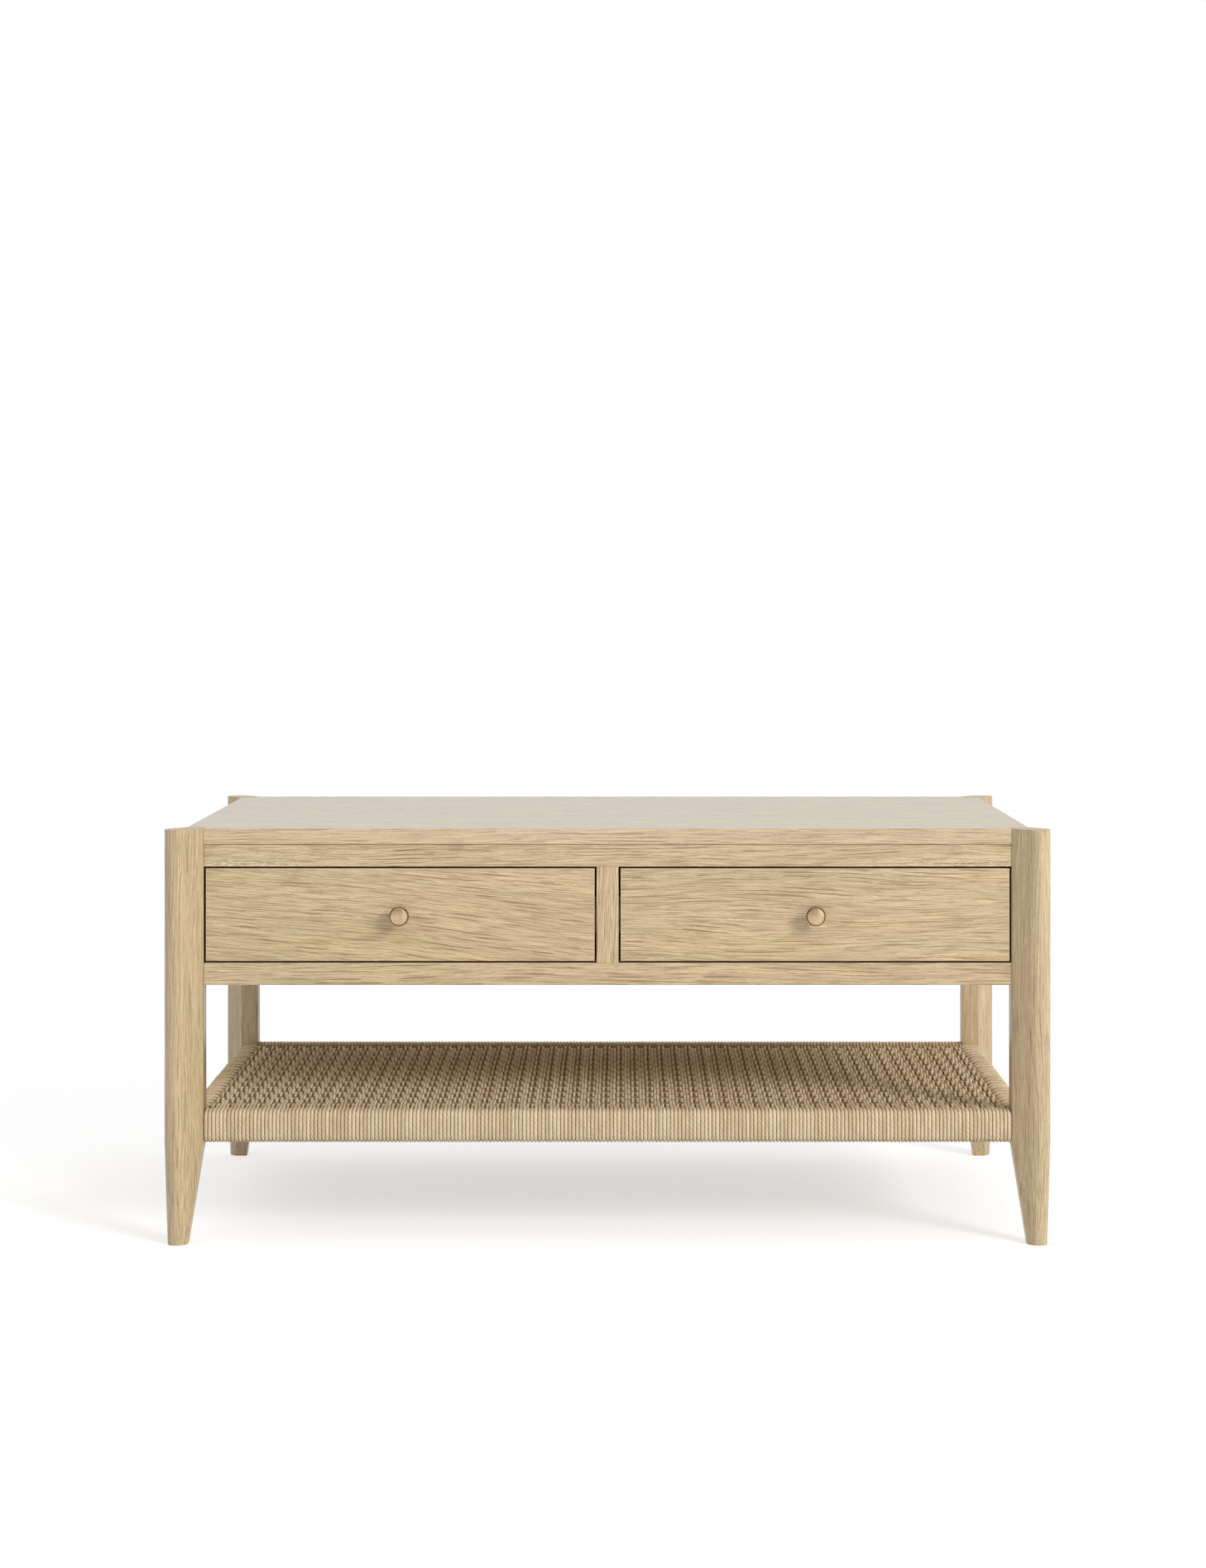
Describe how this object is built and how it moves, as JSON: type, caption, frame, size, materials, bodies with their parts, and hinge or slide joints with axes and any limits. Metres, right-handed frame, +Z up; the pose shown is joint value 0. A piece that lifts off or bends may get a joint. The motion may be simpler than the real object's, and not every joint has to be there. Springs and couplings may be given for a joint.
{
  "type": "coffee table",
  "caption": "Low rectangular coffee table with inset sliding drawers under a flush top and an open woven-cord shelf between tapered legs.",
  "frame": {"origin": "on the floor, midway between the outer faces of the legs in width and in depth", "axes": "+X along the width, to the right seen from the drawers' side; +Y from the drawers' side to the back; +Z up"},
  "size_m": [1, 0.55, 0.468],
  "materials": {
    "solid_oak": "matt clear lacquer on pale oak",
    "veneered_oak": "matt clear lacquer on pale oak veneer",
    "drawer_wood": "sealed pale hardwood",
    "plywood": "sealed birch plywood",
    "beech_dowel": "raw beech",
    "rail_wood": "raw hardwood",
    "woven_cord": "twisted natural cord, matt",
    "satin_brass": "satin lacquered",
    "zinc_steel": "bright zinc plate"
  },
  "bodies": {
    "carcass": {"left_drawer_left_slide_fixed": "zinc_steel", "left_drawer_right_slide_fixed": "zinc_steel", "right_drawer_left_slide_fixed": "zinc_steel", "right_drawer_right_slide_fixed": "zinc_steel", "leg_front_left": "solid_oak", "leg_front_right": "solid_oak", "leg_back_left": "solid_oak", "leg_back_right": "solid_oak", "upper_front_rail": "solid_oak", "lower_front_rail": "solid_oak", "centre_divider": "solid_oak", "top_board": "veneered_oak", "side_panel_left": "veneered_oak", "side_panel_right": "veneered_oak", "back_panel": "veneered_oak", "centre_partition": "plywood", "bottom_panel": "plywood", "rail_dowels": "beech_dowel", "panel_dowels": "beech_dowel", "shelf_dowels": "beech_dowel", "shelf_rail_front": "rail_wood", "shelf_rail_back": "rail_wood", "shelf_rail_left": "rail_wood", "shelf_rail_right": "rail_wood", "shelf_wrap_front": "woven_cord", "shelf_wrap_back": "woven_cord", "shelf_wrap_left": "woven_cord", "shelf_wrap_right": "woven_cord", "woven_panel": "woven_cord", "top_angles": "zinc_steel", "top_angle_screws": "zinc_steel", "slide_wall_screws": "zinc_steel"},
    "left_drawer": {"left_drawer_left_slide_moving": "zinc_steel", "left_drawer_right_slide_moving": "zinc_steel", "left_drawer_front": "solid_oak", "left_drawer_knob": "satin_brass", "left_drawer_knob_screw": "zinc_steel", "left_drawer_slide_screws": "zinc_steel", "left_drawer_left_side": "drawer_wood", "left_drawer_right_side": "drawer_wood", "left_drawer_back": "drawer_wood", "left_drawer_bottom": "plywood"},
    "right_drawer": {"right_drawer_left_slide_moving": "zinc_steel", "right_drawer_right_slide_moving": "zinc_steel", "right_drawer_front": "solid_oak", "right_drawer_knob": "satin_brass", "right_drawer_knob_screw": "zinc_steel", "right_drawer_slide_screws": "zinc_steel", "right_drawer_left_side": "drawer_wood", "right_drawer_right_side": "drawer_wood", "right_drawer_back": "drawer_wood", "right_drawer_bottom": "plywood"},
    "left_middle_slides": {"left_drawer_left_slide_middle": "zinc_steel", "left_drawer_right_slide_middle": "zinc_steel"},
    "right_middle_slides": {"right_drawer_left_slide_middle": "zinc_steel", "right_drawer_right_slide_middle": "zinc_steel"}
  },
  "joints": [
    {"name": "left_drawer_slide", "type": "slide", "parent": "carcass", "child": "left_drawer", "axis": [0, -1, 0], "range_m": [0, 0.4]},
    {"name": "left_middle_slide", "type": "slide", "parent": "carcass", "child": "left_middle_slides", "axis": [0, -1, 0], "range_m": [0, 0.2]},
    {"name": "right_drawer_slide", "type": "slide", "parent": "carcass", "child": "right_drawer", "axis": [0, -1, 0], "range_m": [0, 0.4]},
    {"name": "right_middle_slide", "type": "slide", "parent": "carcass", "child": "right_middle_slides", "axis": [0, -1, 0], "range_m": [0, 0.2]}
  ],
  "couplings": [
    {"joint": "left_middle_slide", "follows": "left_drawer_slide", "ratio": 0.5},
    {"joint": "right_middle_slide", "follows": "right_drawer_slide", "ratio": 0.5}
  ]
}
